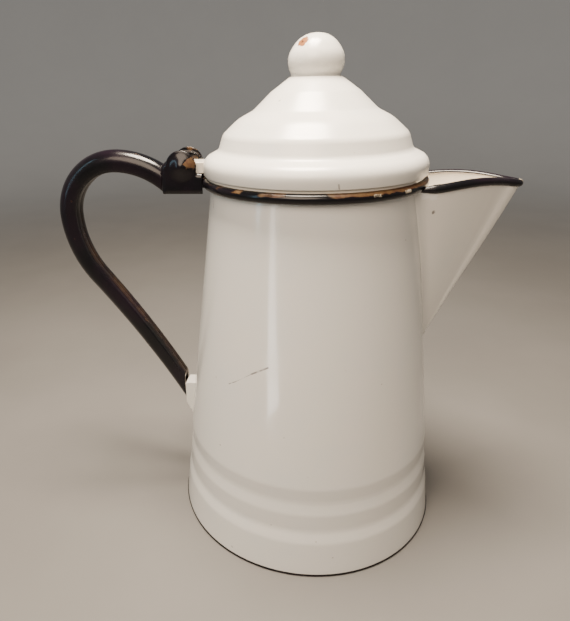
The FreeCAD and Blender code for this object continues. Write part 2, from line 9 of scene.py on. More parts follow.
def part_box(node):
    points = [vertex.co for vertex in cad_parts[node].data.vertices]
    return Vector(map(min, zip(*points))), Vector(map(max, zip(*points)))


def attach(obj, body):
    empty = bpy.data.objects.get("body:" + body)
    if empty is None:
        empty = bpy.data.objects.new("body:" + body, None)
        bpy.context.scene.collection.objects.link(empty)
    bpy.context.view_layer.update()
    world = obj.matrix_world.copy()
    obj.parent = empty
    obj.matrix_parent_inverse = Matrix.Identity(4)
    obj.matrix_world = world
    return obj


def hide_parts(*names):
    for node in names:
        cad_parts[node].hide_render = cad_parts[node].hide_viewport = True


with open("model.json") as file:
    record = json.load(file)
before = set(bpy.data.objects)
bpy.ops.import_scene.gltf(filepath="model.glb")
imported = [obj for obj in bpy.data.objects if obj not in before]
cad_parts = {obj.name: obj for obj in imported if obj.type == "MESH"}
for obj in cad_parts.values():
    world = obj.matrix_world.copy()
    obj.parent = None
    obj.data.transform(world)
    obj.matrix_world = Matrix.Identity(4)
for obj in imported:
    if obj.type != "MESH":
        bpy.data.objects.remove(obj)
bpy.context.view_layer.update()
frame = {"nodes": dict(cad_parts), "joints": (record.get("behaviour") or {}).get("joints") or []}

# ---------------------------------------------------------------- measures
# Lengths are written in millimetres and turned into metres by MM.
MM = 0.001
WALL_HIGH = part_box("body_shell")[1]
RIM_LOW, RIM_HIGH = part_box("rim_bead")
LID_LOW, LID_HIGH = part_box("lid_shell")
KNOB_LOW, KNOB_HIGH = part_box("knob_cap")
COLLAR_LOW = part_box("knob_base")[0]
BRACKET_LOW, BRACKET_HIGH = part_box("hinge_bracket")
PIN = Vector(frame["joints"][0]["pos_m"]) / MM

WALL_TOP = WALL_HIGH[2] / MM
BEAD_TUBE = (RIM_HIGH[2] - RIM_LOW[2]) / 2 / MM
BEAD_CIRCLE = RIM_HIGH[0] / MM - BEAD_TUBE
MOUTH = BEAD_CIRCLE - 1.7
LID_RADIUS = LID_HIGH[0] / MM
LID_EDGE = LID_LOW[2] / MM
LID_TOP = LID_HIGH[2] / MM
KNOB_RADIUS = KNOB_HIGH[0] / MM
KNOB_SEAT = KNOB_LOW[2] / MM
KNOB_TOP = KNOB_HIGH[2] / MM
KNOB_FOOT = COLLAR_LOW[2] / MM
WALL_TAPER = 0.1256
LID_STEEL = 1.1
KNOB_STEEL = 1.2
SWELLING_RADIUS = 7.2
SWELLING_HEIGHT = 2.6
SWELLING_SPREAD = 4.2
SWELLING_LIFT = 1.6


# ---------------------------------------------------------------- mesh tools
def smooth_path(corners, steps=7):
    """Open path through corners (x, y) or (x, y, bend radius)."""
    spots = [Vector(corner[:2]) for corner in corners]
    path = []
    for index, corner in enumerate(corners):
        spot = spots[index]
        ends = index in (0, len(corners) - 1)
        if ends or len(corner) == 2:
            path.append(spot)
            continue
        back = (spots[index - 1] - spot).normalized()
        ahead = (spots[index + 1] - spot).normalized()
        half = back.angle(ahead) / 2
        reach = corner[2] / math.tan(half)
        hub = spot + (back + ahead).normalized() * (corner[2] / math.sin(half))
        start = spot + back * reach - hub
        end = spot + ahead * reach - hub
        swing = start.angle_signed(end)
        for step in range(steps + 1):
            turned = Matrix.Rotation(-swing * step / steps, 2) @ start
            path.append(hub + turned)
    return path


def offset_path(path, distance):
    """The same path moved to its right by distance."""
    moved = []
    for index, spot in enumerate(path):
        before = path[max(index - 1, 0)]
        after = path[min(index + 1, len(path) - 1)]
        along = (after - before).normalized()
        moved.append(spot + Vector((along.y, -along.x)) * distance)
    return moved


def hemmed(path, thickness, steps=4):
    """Closed outline of a sheet of that thickness, with rounded edges."""
    inside = offset_path(path, thickness)
    outline = list(path)
    for first, second, along in ((path[-1], inside[-1], path[-1] - path[-2]),
                                 (inside[0], path[0], path[0] - path[1])):
        middle = (first + second) / 2
        out = along.normalized() * thickness / 2
        arm = first - middle
        for step in range(1, steps):
            angle = math.pi * step / steps
            outline.append(middle + arm * math.cos(angle) + out * math.sin(angle))
        if first == path[-1]:
            outline.extend(reversed(inside))
    return outline


def add_piece(name, vertices, faces, body, nodes=(), material=None, worn=()):
    """A smooth-shaded mesh piece, in metres, that rides on a body. worn is 0 to 1 at each point."""
    mesh = bpy.data.meshes.new(name)
    mesh.from_pydata([Vector(spot) * MM for spot in vertices], [], faces)
    if worn:
        mesh.attributes.new("worn", "FLOAT", "POINT").data.foreach_set("value", worn)
    mesh.validate()
    mesh.polygons.foreach_set("use_smooth", [True] * len(mesh.polygons))
    piece = bpy.data.objects.new(name, mesh)
    bpy.context.scene.collection.objects.link(piece)
    dress(piece, body, nodes, material)
    return piece


def dress(piece, body, nodes, material):
    """Parent a piece to its body's empty, hide the CAD nodes it stands for, and give it its
    material.
    """
    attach(piece, body)
    if nodes:
        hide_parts(*nodes)
    if material:
        piece.data.materials.clear()
        piece.data.materials.append(material)


def turned_mesh(outline, segments, wobble=0.0, seed=0.0):
    """Vertices and faces of a closed outline of (radius, height) turned about Z."""
    vertices = []
    faces = []
    count = len(outline)
    for segment in range(segments):
        angle = 2 * math.pi * segment / segments
        aside = Vector((math.cos(angle), math.sin(angle), 0))
        for spot in outline:
            radius = max(spot[0], 0.0)
            place = aside * radius + Vector((0, 0, spot[1]))
            if wobble and radius > 1:
                place += aside * wobble * noise.noise(place * 0.035 + Vector((seed, 0, 0)))
            vertices.append(place)
    for segment in range(segments):
        after = (segment + 1) % segments
        for index in range(count):
            nxt = (index + 1) % count
            corner = [segment * count + index, after * count + index,
                      after * count + nxt, segment * count + nxt]
            if outline[index][0] <= 0 and outline[nxt][0] <= 0:
                continue
            faces.append(corner)
    return vertices, faces


def lathe(name, outline, body, nodes, material, segments, wobble, seed=0.0):
    """Closed outline turned about the pot's axis, as a piece."""
    vertices, faces = turned_mesh(outline, segments, wobble, seed)
    weld(add_piece(name, vertices, faces, body, nodes, material))


def weld(piece, distance=0.00002):
    """Merge doubled points and make every face look outwards."""
    work = bmesh.new()
    work.from_mesh(piece.data)
    bmesh.ops.remove_doubles(work, verts=work.verts, dist=distance)
    bmesh.ops.recalc_face_normals(work, faces=work.faces)
    work.to_mesh(piece.data)
    work.free()


def cut_flat(piece, spot, normal, levels, cap_slot=0):
    """Cut the piece off flat where it passes spot (mm) between two levels, and close the cut."""
    low, high = levels
    work = bmesh.new()
    work.from_mesh(piece.data)
    faces = [face for face in work.faces if low < face.calc_center_median().z / MM < high]
    edges = {edge for face in faces for edge in face.edges}
    verts = {vert for face in faces for vert in face.verts}
    cut = bmesh.ops.bisect_plane(work, geom=faces + list(edges) + list(verts),
                                 plane_co=Vector(spot) * MM, plane_no=normal, clear_outer=True)
    rim = [item for item in cut["geom_cut"] if isinstance(item, bmesh.types.BMEdge)]
    cap = bmesh.ops.triangle_fill(work, edges=rim, use_beauty=True)
    for item in cap["geom"]:
        if isinstance(item, bmesh.types.BMFace):
            item.material_index = cap_slot
    bmesh.ops.recalc_face_normals(work, faces=work.faces)
    work.to_mesh(piece.data)
    work.free()


def sweep_mesh(rings):
    """Faces between successive rings of points, with flat caps."""
    count = len(rings[0])
    vertices = [spot for ring in rings for spot in ring]
    faces = []
    for row in range(len(rings) - 1):
        for index in range(count):
            nxt = (index + 1) % count
            faces.append([row * count + index, row * count + nxt,
                          (row + 1) * count + nxt, (row + 1) * count + index])
    faces.append(list(range(count))[::-1])
    last = (len(rings) - 1) * count
    faces.append(list(range(last, last + count)))
    return vertices, faces


def swelling(side):
    """Closed mound on a cheek of the hinge, fading into the flat. side is 1 or -1.

    It lies SWELLING_LIFT above the pin's axis, where the photo shows it.
    """
    face = BRACKET_HIGH[1] / MM
    buried = face - 0.8
    edge = face - 0.15
    outline = [(0, buried), (SWELLING_RADIUS, buried)]
    steps = 24
    for step in range(steps + 1):
        reach = SWELLING_RADIUS * (1 - step / steps)
        rise = SWELLING_HEIGHT * math.exp(-(reach / SWELLING_SPREAD) ** 2)
        outline.append((reach, edge + rise))
    vertices, faces = turned_mesh(outline, 48)
    middle = PIN.z + SWELLING_LIFT
    mesh = bpy.data.meshes.new("swelling")
    mesh.from_pydata([Vector((PIN.x + spot.x, side * spot.z, middle + spot.y)) * MM
                      for spot in vertices], [], faces)
    return mesh


def softened(name, nodes, body, material, voxel, passes, sources=None):
    """CAD nodes, or meshes for them, under one coat of enamel that rounds their edges."""
    work = bmesh.new()
    for source in sources or [frame["nodes"][node].data for node in nodes]:
        work.from_mesh(source)
    bmesh.ops.remove_doubles(work, verts=work.verts, dist=1e-6)
    bmesh.ops.recalc_face_normals(work, faces=work.faces)
    mesh = bpy.data.meshes.new(name)
    work.to_mesh(mesh)
    work.free()
    piece = bpy.data.objects.new(name, mesh)
    bpy.context.scene.collection.objects.link(piece)
    remesh = piece.modifiers.new("even", "REMESH")
    remesh.mode = "VOXEL"
    remesh.voxel_size = voxel * MM
    remesh.use_smooth_shade = True
    ease = piece.modifiers.new("ease", "SMOOTH")
    ease.factor = 0.5
    ease.iterations = passes
    graph = bpy.context.evaluated_depsgraph_get()
    graph.update()
    baked = bpy.data.meshes.new_from_object(piece.evaluated_get(graph))
    piece.modifiers.clear()
    piece.data = baked
    piece.data.name = name
    baked.polygons.foreach_set("use_smooth", [True] * len(baked.polygons))
    dress(piece, body, nodes, material)


# ---------------------------------------------------------------- materials
class Shader:
    """A small hand for wiring a node tree."""

    def __init__(self, name):
        self.material = bpy.data.materials.new(name)
        self.material.use_nodes = True
        self.tree = self.material.node_tree
        self.tree.nodes.clear()
        self.out = self.tree.nodes.new("ShaderNodeOutputMaterial")
        self.bsdf = self.tree.nodes.new("ShaderNodeBsdfPrincipled")
        self.tree.links.new(self.bsdf.outputs[0], self.out.inputs[0])
        place = self.tree.nodes.new("ShaderNodeTexCoord")
        self.place = place.outputs["Object"]

    def node(self, kind, **settings):
        made = self.tree.nodes.new(kind)
        for key, setting in settings.items():
            setattr(made, key, setting)
        return made

    def feed(self, socket, source):
        if isinstance(source, bpy.types.NodeSocket):
            self.tree.links.new(source, socket)
        elif isinstance(source, (tuple, list)) and len(source) == 3 and socket.type == "RGBA":
            socket.default_value = (*source, 1)
        else:
            socket.default_value = source

    def maths(self, operation, first, second=0.0, clamp=False):
        made = self.node("ShaderNodeMath", operation=operation, use_clamp=clamp)
        self.feed(made.inputs[0], first)
        self.feed(made.inputs[1], second)
        return made.outputs[0]

    def noise(self, scale, detail=3.0, roughness=0.55, stretch=None, seed=0.0):
        place = self.place
        if stretch or seed:
            moved = self.node("ShaderNodeMapping")
            self.feed(moved.inputs["Vector"], self.place)
            moved.inputs["Scale"].default_value = stretch or (1, 1, 1)
            moved.inputs["Location"].default_value = (seed, seed * 0.7, seed * 1.3)
            place = moved.outputs[0]
        made = self.node("ShaderNodeTexNoise")
        self.feed(made.inputs["Vector"], place)
        made.inputs["Scale"].default_value = scale
        made.inputs["Detail"].default_value = detail
        made.inputs["Roughness"].default_value = roughness
        return made.outputs["Fac"]

    def ramp(self, source, low, high, to_low=0.0, to_high=1.0):
        made = self.node("ShaderNodeMapRange", clamp=True, interpolation_type="SMOOTHSTEP")
        self.feed(made.inputs["Value"], source)
        for key, amount in (("From Min", low), ("From Max", high),
                            ("To Min", to_low), ("To Max", to_high)):
            self.feed(made.inputs[key], amount)
        return made.outputs["Result"]

    def mix(self, share, first, second):
        made = self.node("ShaderNodeMix", data_type="RGBA")
        self.feed(made.inputs[0], share)
        self.feed(made.inputs[6], first)
        self.feed(made.inputs[7], second)
        return made.outputs[2]

    def axis(self, letter):
        split = self.node("ShaderNodeSeparateXYZ")
        self.feed(split.inputs[0], self.place)
        return split.outputs[letter]

    def near(self, spot, radius, ragged=0.35, scale=900.0):
        """1 within radius mm of a spot, with a ragged edge."""
        gap = self.node("ShaderNodeVectorMath", operation="DISTANCE")
        self.feed(gap.inputs[0], self.place)
        gap.inputs[1].default_value = Vector(spot) * MM
        rough = self.maths("MULTIPLY", self.noise(scale, 2.0), radius * MM * ragged * 4)
        far = self.maths("ADD", gap.outputs["Value"], rough)
        edge = radius * MM * (1 + 2 * ragged)
        return self.ramp(far, edge * 0.9, edge * 1.06, 1.0, 0.0)

    def streak(self, first, second, width):
        """1 within width mm of the segment between two spots."""
        start = Vector(first) * MM
        span = Vector(second) * MM - start
        away = self.node("ShaderNodeVectorMath", operation="SUBTRACT")
        self.feed(away.inputs[0], self.place)
        away.inputs[1].default_value = start
        along = self.node("ShaderNodeVectorMath", operation="DOT_PRODUCT")
        self.feed(along.inputs[0], away.outputs[0])
        along.inputs[1].default_value = span / span.length_squared
        share = self.maths("ADD", along.outputs["Value"], 0.0, clamp=True)
        foot = self.node("ShaderNodeVectorMath", operation="SCALE")
        foot.inputs[0].default_value = span
        self.feed(foot.inputs["Scale"], share)
        gap = self.node("ShaderNodeVectorMath", operation="DISTANCE")
        self.feed(gap.inputs[0], away.outputs[0])
        self.feed(gap.inputs[1], foot.outputs[0])
        return self.ramp(gap.outputs["Value"], width * MM * 0.4, width * MM, 1.0, 0.0)

    def worn(self):
        made = self.node("ShaderNodeAttribute", attribute_name="worn")
        return made.outputs["Fac"]

    def most(self, *masks):
        mask = masks[0]
        for other in masks[1:]:
            mask = self.maths("MAXIMUM", mask, other)
        return mask

    def finish(self, colour, roughness, bump=None, strength=0.3, depth=0.0002, **extra):
        self.feed(self.bsdf.inputs["Base Color"], colour)
        self.feed(self.bsdf.inputs["Roughness"], roughness)
        for key, amount in extra.items():
            self.feed(self.bsdf.inputs[key.replace("_", " ")], amount)
        if bump is not None:
            raised = self.node("ShaderNodeBump")
            raised.inputs["Strength"].default_value = strength
            raised.inputs["Distance"].default_value = depth
            self.feed(raised.inputs["Height"], bump)
            self.feed(self.bsdf.inputs["Normal"], raised.outputs[0])
        return self.material


WHITE = (0.80, 0.785, 0.74)
WARM_WHITE = (0.83, 0.795, 0.725)
COOL_WHITE = (0.74, 0.755, 0.74)
CREAM = (0.84, 0.76, 0.63)
BLACK = (0.004, 0.004, 0.005)
PLUM = (0.009, 0.005, 0.009)
BROWN = (0.105, 0.058, 0.022)
RUST = (0.065, 0.026, 0.010)
STEEL = (0.055, 0.045, 0.042)
CHALK = (0.50, 0.44, 0.34)
LID_TINT = (0.82, 0.80, 0.745)
PINHOLE = (0.30, 0.25, 0.19)
DULL_STEEL = (0.32, 0.30, 0.28)
GROUND_COAT = (0.86, 0.85, 0.83)
PALE_RUST = (0.30, 0.125, 0.05)
DEEP_RUST = (0.10, 0.04, 0.02)
FLOOR_TONES = ((0.160, 0.152, 0.142), (0.175, 0.167, 0.156))


def chip_colour(shader, seed):
    """Colour inside a chip: dark steel mottled with rust."""
    grain = shader.ramp(shader.noise(1400.0, 4.0, seed=seed), 0.35, 0.65)
    return shader.mix(grain, STEEL, RUST)


def white_enamel(name, chips=(), streaks=(), tint=WHITE, seed=1.0, patches=(), soft=0.0):
    """Glossy white enamel with faint clouding, a few pinholes, chips and scratches.

    chips are (spot, radius), streaks (first, second, width) and patches (spot, radius, colour).
    soft is added to the roughness.
    """
    shader = Shader(name)
    broad = shader.ramp(shader.noise(14.0, 4.0, seed=seed), 0.3, 0.7)
    colour = shader.mix(broad, tint, shader.mix(0.6, tint, WARM_WHITE))
    fine = shader.ramp(shader.noise(70.0, 5.0, seed=seed + 3), 0.45, 0.8, 0.0, 0.35)
    colour = shader.mix(fine, colour, COOL_WHITE)
    dots = shader.ramp(shader.noise(420.0, 1.0, 0.3, seed=seed + 5), 0.815, 0.84, 0.0, 0.6)
    colour = shader.mix(dots, colour, PINHOLE)
    marks = [shader.near(spot, radius) for spot, radius in chips]
    marks += [shader.streak(*line) for line in streaks]
    height = shader.maths("MULTIPLY", shader.noise(38.0, 3.0, seed=seed + 8), 0.7)
    height = shader.maths("ADD", height, shader.maths("MULTIPLY", shader.noise(420.0, 2.0), 0.05))
    smear = shader.ramp(shader.noise(60.0, 4.0, seed=seed + 11), 0.35, 0.75,
                        0.12 + soft, 0.24 + soft)
    for spot, radius, shade in patches:
        colour = shader.mix(shader.near(spot, radius), colour, shade)
    if marks:
        broken = shader.ramp(shader.noise(330.0, 3.0, seed=seed + 2), 0.34, 0.58, 0.15, 0.75)
        mark = shader.maths("MULTIPLY", shader.most(*marks), broken)
        colour = shader.mix(mark, colour, chip_colour(shader, seed))
        height = shader.maths("SUBTRACT", height, mark)
        smear = shader.maths("ADD", smear, shader.maths("MULTIPLY", mark, 0.5), clamp=True)
    return shader.finish(colour, smear, height, 0.22, 0.0003, Coat_Weight=0.35,
                         Coat_Roughness=0.07 + soft)


def black_enamel(name, browning=None, seed=2.0, chalky=(), soft=0.0):
    """Deep black enamel.

    The function passed second gives where the black turns brown: worn steel, and on the hinge also
    a painted brown-grey sheen.
    chalky holds pale streaks as (first, second, width). soft is added to the roughness.
    """
    shader = Shader(name)
    tone = shader.ramp(shader.noise(50.0, 4.0, seed=seed), 0.35, 0.7)
    colour = shader.mix(tone, BLACK, PLUM)
    gloss = shader.ramp(shader.noise(90.0, 4.0, seed=seed + 4), 0.3, 0.75,
                        0.10 + soft, 0.24 + soft)
    height = shader.noise(190.0, 3.0, seed=seed + 6)
    if browning:
        # Brown from worn steel; on the hinge this mask also carries a painted sheen.
        worn = browning(shader)
        grain = shader.ramp(shader.noise(430.0, 4.0, seed=seed), 0.38, 0.62)
        brown = shader.mix(grain, BROWN, RUST)
        colour = shader.mix(worn, colour, brown)
        gloss = shader.maths("ADD", gloss, shader.maths("MULTIPLY", worn, 0.3), clamp=True)
        height = shader.maths("SUBTRACT", height, worn)
    for line in chalky:
        ragged = shader.ramp(shader.noise(420.0, 4.0, seed=seed + 9), 0.40, 0.56)
        mask = shader.maths("MULTIPLY", shader.streak(*line), ragged)
        colour = shader.mix(mask, colour, CHALK)
    return shader.finish(colour, gloss, height, 0.16, 0.0002, Specular_IOR_Level=0.36)


def bare_steel(name):
    """Dull grey steel with rust in its pits."""
    shader = Shader(name)
    rust = shader.ramp(shader.noise(260.0, 5.0), 0.4, 0.65)
    colour = shader.mix(rust, DULL_STEEL, RUST)
    rough = shader.ramp(rust, 0, 1, 0.35, 0.8)
    return shader.finish(colour, rough, shader.noise(700.0, 4.0), 0.4, 0.0001, Metallic=0.7)


def rim_wear(shader):
    """Brown bare steel along the top of the roll, unbroken beside the spout."""
    height = shader.maths("ADD", shader.axis("Z"),
                          shader.maths("MULTIPLY", shader.noise(210.0, 3.0, seed=3.0), 0.0020))
    level = (WALL_TOP + BEAD_TUBE + 1.75) * MM
    top = shader.ramp(height, level, level + 0.0004)
    side = shader.ramp(shader.axis("X"), 0.0085, 0.0115)
    patches = shader.ramp(shader.noise(62.0, 2.0, seed=12.0), 0.52, 0.60)
    return shader.maths("MULTIPLY", top, shader.most(side, patches))


def lip_wear(shader):
    """A few brown rubbed places on the spout's edge."""
    return shader.ramp(shader.noise(120.0, 4.0, seed=21.0), 0.72, 0.80, 0.0, 0.6)


def handle_wear(shader):
    """Faint brown along the open seam of the tube, and small brown spots all over."""
    patchiness = shader.ramp(shader.noise(70.0, 4.0, seed=31.0), 0.42, 0.66, 0.25, 1.0)
    spots = shader.ramp(shader.noise(240.0, 3.0, seed=33.0), 0.68, 0.74, 0.0, 0.5)
    seam = shader.maths("MULTIPLY", shader.worn(), patchiness)
    return shader.most(shader.maths("MULTIPLY", seam, 0.32), spots)


def hinge_wear_and_sheen(shader):
    """Brown worn patch on the near cheek, and a painted brown-grey sheen, broken up by noise, on
    the upward-facing top of the far cheek.
    """
    patchiness = shader.ramp(shader.noise(190.0, 4.0, seed=41.0), 0.40, 0.52, 0.0, 0.8)
    # Painted sheen: brown-grey on the upward-facing top of the far cheek, standing in for light
    # from above.
    far_cheek_sheen = shader.maths("MULTIPLY", patchiness, shader.near((-60, 9, 185), 5.0))
    return shader.most(shader.near((-55.4, -10, 182.6), 2.6), far_cheek_sheen)


# Marks of use, each at its place on the pot. The long scratch is three streaks end to end.
SCRATCH = ((-35.2, -45.5, 89.7), (-32.1, -47.4, 92.0), (-24.0, -51.0, 98.5),
           (-16.7, -53.3, 103.2))
HINGE_CRACK = ((-44.0, -18.6, 170.4), (-43.4, -20.6, 165.0), 0.55)
BODY_STREAKS = [(SCRATCH[0], SCRATCH[1], 0.28), (SCRATCH[1], SCRATCH[2], 0.22),
                (SCRATCH[2], SCRATCH[3], 0.5), HINGE_CRACK]
BODY_CHIPS = [((-9.3, -59.0, 71.8), 0.45), ((-40.4, -46.7, 56.3), 0.4),
              ((44.3, -22.0, 160.4), 0.7)]
RIM_CHALK = [((23.8, -45.3, 174.9), (26.2, -44.0, 174.9), 0.9),
             ((36.6, -35.7, 174.7), (38.6, -33.6, 174.8), 1.0)]
SPOUT_PALE = [((47.0, -20.2, 170.0), 1.9, GROUND_COAT), ((50.6, -20.0, 169.6), 1.9, GROUND_COAT)]
SPOUT_CHIPS = [((51.6, -18.0, 162.6), 0.9)]
TIP_CHALK = [((89.6, -0.8, 173.4), (91.6, -0.3, 172.0), 1.5)]
KNOB_RUST = [((-6.0, -6.9, 231.3), 2.7, PALE_RUST), ((-6.4, -7.2, 231.0), 1.2, DEEP_RUST)]
LID_STREAKS = [((9.6, -49.3, 179.6), (10.2, -49.6, 177.0), 0.5)]
LEAF_CHIPS = [((-52.5, -8.0, 177.0), 1.6), ((-50.0, -7.0, 176.6), 1.2)]

POT_WHITE = white_enamel("pot_white", BODY_CHIPS, BODY_STREAKS)
LID_WHITE = white_enamel("lid_white", streaks=LID_STREAKS, tint=LID_TINT, seed=4.0, soft=0.16)
KNOB_WHITE = white_enamel("knob_white", tint=LID_TINT, seed=5.5, patches=KNOB_RUST, soft=0.12)
SPOUT_WHITE = white_enamel("spout_white", SPOUT_CHIPS, seed=6.0, patches=SPOUT_PALE)
CREAM_ENAMEL = white_enamel("cream", tint=CREAM, seed=9.0)
LEAF_CREAM = white_enamel("leaf_cream", LEAF_CHIPS, tint=CREAM, seed=10.0)
HANDLE_BLACK = black_enamel("handle_black", handle_wear, soft=0.05)
HINGE_BLACK = black_enamel("hinge_black", hinge_wear_and_sheen, 2.5)
RIM_BLACK = black_enamel("rim_black", rim_wear, 5.0, RIM_CHALK)
LIP_BLACK = black_enamel("lip_black", lip_wear, 6.5, TIP_CHALK, soft=0.10)
BASE_BLACK = black_enamel("base_black", seed=8.0)
STEEL_BARE = bare_steel("steel")


# ---------------------------------------------------------------- the pot
def paint_nodes():
    """Materials of the CAD nodes that stay as they are."""
    looks = {"body_shell": POT_WHITE, "base_plate": BASE_BLACK, "lid_skirt": CREAM_ENAMEL,
             "rim_wire": STEEL_BARE, "knob_rivet": STEEL_BARE}
    for node, material in looks.items():
        piece = frame["nodes"][node]
        piece.data.materials.clear()
        piece.data.materials.append(material)


def make_rim():
    """Rolled black edge of the mouth."""
    middle = WALL_TOP + BEAD_TUBE
    inner = MOUTH - 1.2
    ring = []
    for step in range(22):
        angle = math.radians(200 - 15.5 * step)
        ring.append(Vector((BEAD_CIRCLE + BEAD_TUBE * math.cos(angle),
                            middle + BEAD_TUBE * math.sin(angle))))
    ring.append(Vector((MOUTH, WALL_TOP)))
    ring.append(Vector((inner, WALL_TOP)))
    ring.append(Vector((inner, middle - 0.2)))
    ring.append(Vector((inner + 0.25, middle + 0.3)))
    lathe("rim_roll", ring, "pot", ("rim_bead",), RIM_BLACK, 256, 0.12)


def lid_outline():
    """Stepped dome in section, from its crown out to its edge, measured from the edge."""
    drop = LID_RADIUS
    corners = [
        (0, LID_TOP),
        (11.1, LID_TOP, 1.5),
        (drop - 30.8, LID_EDGE + 34.4, 9.0),
        (drop - 23.2, LID_EDGE + 27.3, 8.0),
        (drop - 16.4, LID_EDGE + 23.8, 18.0),
        (drop - 9.4, LID_EDGE + 17.6, 5.5),
        (drop - 7.2, LID_EDGE + 10.9, 3.6),
        (drop, LID_EDGE + 7.5, 5.5),
        (drop - 0.1, LID_EDGE + 1.0),
    ]
    return hemmed(smooth_path(corners), LID_STEEL)


def make_lid():
    lathe("lid_dome", lid_outline(), "lid", ("lid_shell",), LID_WHITE, 224,
          0.18, 3.0)


def make_knob():
    """Hollow knob and its collar in one: a low round crown, a ball and a wide neck."""
    neck = KNOB_RADIUS - 2.3
    corners = [
        (0, KNOB_TOP),
        (KNOB_RADIUS - 6.2, KNOB_TOP - 0.3, 11.0),
        (KNOB_RADIUS + 0.4, KNOB_TOP - 10.2, 8.6),
        (neck, KNOB_SEAT + 0.9, 3.0),
        (neck, KNOB_FOOT + 0.1),
    ]
    lathe("knob", hemmed(smooth_path(corners, 10), KNOB_STEEL), "lid", ("knob_cap", "knob_base"),
          KNOB_WHITE, 128, 0.1, 8.0)


# ---------------------------------------------------------------- the spout
# Half of the edge, from the mouth to the tip: (reach, half width, height).
LIP = ((41.6, 19.8, 172.2), (47.5, 19.7, 172.4), (54.0, 18.7, 172.9), (60.0, 16.8, 173.6),
       (66.0, 14.1, 174.1), (72.0, 10.9, 174.2), (78.0, 7.3, 173.8), (84.0, 3.6, 173.0),
       (88.6, 1.9, 172.3), (90.3, 0.0, 172.1))
APEX = Vector((56.4, 0.0, 96.0))
SHEET = 1.2
LIP_TUBE = 1.8
LIP_STEPS = 181
SPOUT_ROWS = 48
FLARE_REACH = 3.6
FLARE_SHIFT = 1.2


def spline(points, count):
    """Points evenly along a smooth curve through the given ones."""
    curve = bpy.data.curves.new("route", "CURVE")
    curve.dimensions = "3D"
    line = curve.splines.new("BEZIER")
    line.bezier_points.add(len(points) - 1)
    for knot, spot in zip(line.bezier_points, points):
        knot.co = spot
        knot.handle_left_type = knot.handle_right_type = "AUTO"
    line.resolution_u = 24
    holder = bpy.data.objects.new("route", curve)
    mesh = bpy.data.meshes.new_from_object(holder)
    dense = [vertex.co.copy() for vertex in mesh.vertices]
    bpy.data.objects.remove(holder)
    bpy.data.curves.remove(curve)
    bpy.data.meshes.remove(mesh)
    lengths = [0.0]
    for before, after in zip(dense, dense[1:]):
        lengths.append(lengths[-1] + (after - before).length)
    spots = []
    cursor = 0
    for step in range(count):
        goal = lengths[-1] * step / (count - 1)
        while cursor < len(dense) - 2 and lengths[cursor + 1] < goal:
            cursor += 1
        span = max(lengths[cursor + 1] - lengths[cursor], 1e-9)
        spots.append(dense[cursor].lerp(dense[cursor + 1], (goal - lengths[cursor]) / span))
    return spots


def lip_curve():
    """Points along the spout's edge, from its far root round the tip to its near root."""
    far = [Vector(spot) for spot in LIP]
    near = [Vector((spot.x, -spot.y, spot.z)) for spot in reversed(far[:-1])]
    return spline(far + near, LIP_STEPS)


def outwards(lip, index):
    """Direction square to the spout's sheet, away from its hollow."""
    spot = lip[index]
    before = lip[max(index - 1, 0)]
    after = lip[min(index + 1, len(lip) - 1)]
    out = (after - before).cross(APEX - spot).normalized()
    hollow = Vector((spot.x - 25.0, 0, spot.z))
    return out if out.dot(spot - hollow) > 0 else -out


def flare(place):
    """Soft fillet where the sheet meets the pot's wall."""
    wall = MOUTH + (WALL_TOP - place.z) * WALL_TAPER
    clear = math.hypot(place.x, place.y) - wall
    share = max(0.0, 1 - max(clear, 0.0) / FLARE_REACH)
    return place + Vector((0, math.copysign(FLARE_SHIFT * share ** 2, place.y), 0))


def make_spout():
    """Folded beak: every line of its sheet runs from the lip down to one point."""
    lip = lip_curve()
    rows = SPOUT_ROWS
    outer = []
    inner = []
    for index, spot in enumerate(lip):
        out = outwards(lip, index)
        for row in range(rows):
            share = (row / (rows - 1)) ** 1.3
            place = spot.lerp(APEX, share * 0.985)
            belly = 0.5 * math.sin(math.pi * min(share * 1.5, 1.0)) * (1 - share)
            thin = SHEET / 2 * (1 - share)
            tuck = 0.75 * math.exp(-share * 30)
            lift = Vector((0, 0, 0.75 * math.exp(-share * 60)))
            outer.append(flare(place + out * (SHEET / 2 + belly)))
            inner.append(place - out * (thin + tuck) + lift)
    count = len(lip)
    faces = []
    shift = len(outer)
    for index in range(count - 1):
        for row in range(rows - 1):
            a = index * rows + row
            b = (index + 1) * rows + row
            faces.append([a, b, b + 1, a + 1])
            faces.append([shift + a, shift + a + 1, shift + b + 1, shift + b])
    inside = set(range(1, len(faces), 2))
    for index in range(count - 1):
        a = index * rows
        b = (index + 1) * rows
        faces.append([a, shift + a, shift + b, b])
        faces.append([a + rows - 1, b + rows - 1, shift + b + rows - 1, shift + a + rows - 1])
    for row in range(rows - 1):
        for index, flip in ((0, False), (count - 1, True)):
            a = index * rows + row
            face = [a, a + 1, shift + a + 1, shift + a]
            faces.append(face[::-1] if flip else face)
    piece = add_piece("spout_beak", outer + inner, faces, "pot", ("spout_shell",),
                      SPOUT_WHITE)
    piece.data.materials.append(CREAM_ENAMEL)
    for face in piece.data.polygons:
        face.material_index = int(face.index in inside)
    weld(piece)


def tube_rings(route, section):
    """Rings of a section carried along a route. section(share) gives (out, across) pairs."""
    rings = []
    for index, spot in enumerate(route):
        before = route[max(index - 1, 0)]
        after = route[min(index + 1, len(route) - 1)]
        along = (after - before).normalized()
        up = Vector((0, 0, 1))
        side = along.cross(up).normalized()
        top = side.cross(along).normalized()
        shape = section(index / (len(route) - 1))
        rings.append([spot + side * first + top * second for first, second in shape])
    return rings


